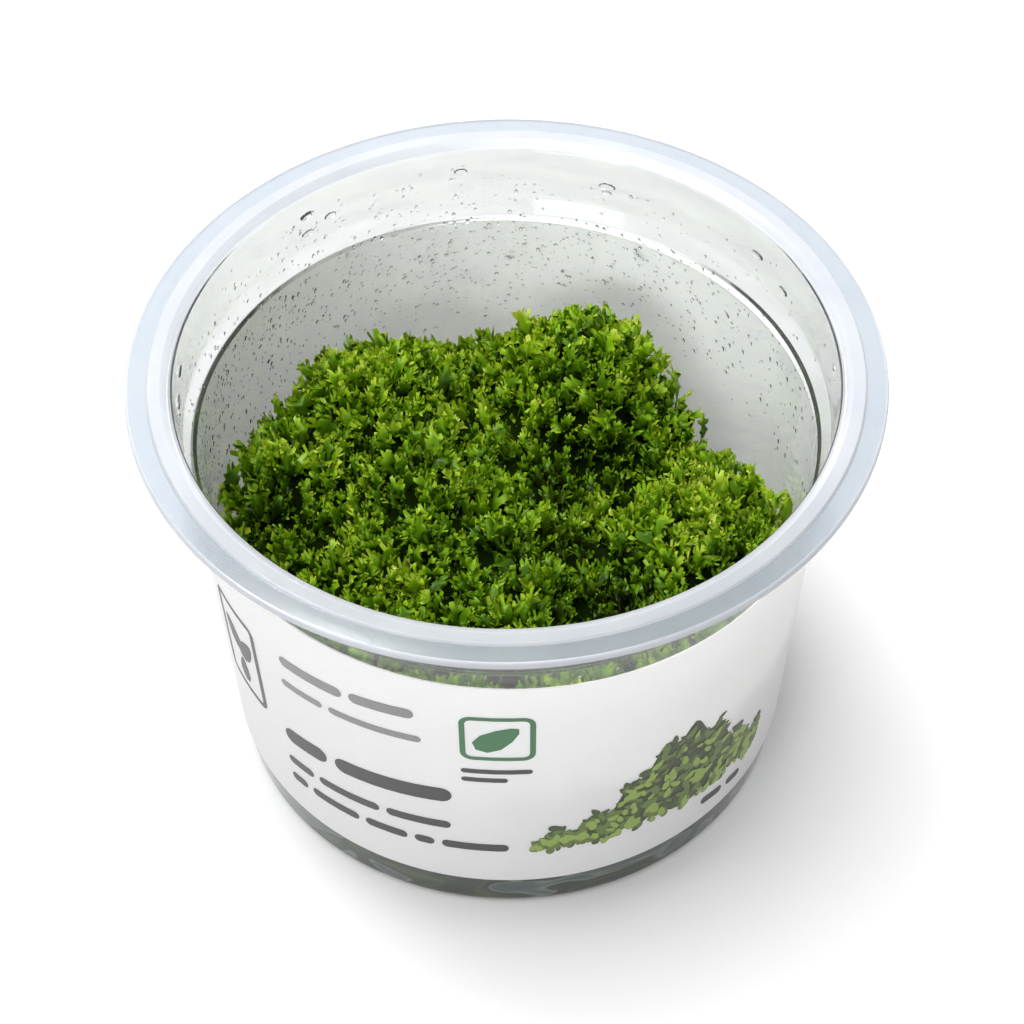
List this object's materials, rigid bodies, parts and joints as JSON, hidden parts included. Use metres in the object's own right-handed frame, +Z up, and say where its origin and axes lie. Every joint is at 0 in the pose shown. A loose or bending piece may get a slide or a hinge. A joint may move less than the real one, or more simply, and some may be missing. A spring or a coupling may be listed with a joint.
{
  "type": "tissue culture cup of jagged liverwort",
  "caption": "Round clear plastic tissue-culture cup, open at the top, with a wrap-round paper label, jelly medium and a dense mat of jagged green liverwort fronds.",
  "frame": {"origin": "centre of the cup's foot on the surface that it stands on", "axes": "+Z up along the cup's axis; -Y faces the front, the side seen in the picture; +X to the viewer's right"},
  "size_m": [0.1, 0.1, 0.067],
  "materials": {
    "clear_plastic": "clear moulded polypropylene, glossy, slightly milky in the rim",
    "label_paper": null,
    "jelly_medium": "wet translucent jelly",
    "liverwort_fronds": "wet glossy fresh green fronds, darker in the gaps"
  },
  "bodies": {
    "root": {"cup": "clear_plastic", "label": "label_paper", "jelly": "jelly_medium", "liverwort": "liverwort_fronds"}
  },
  "joints": []
}
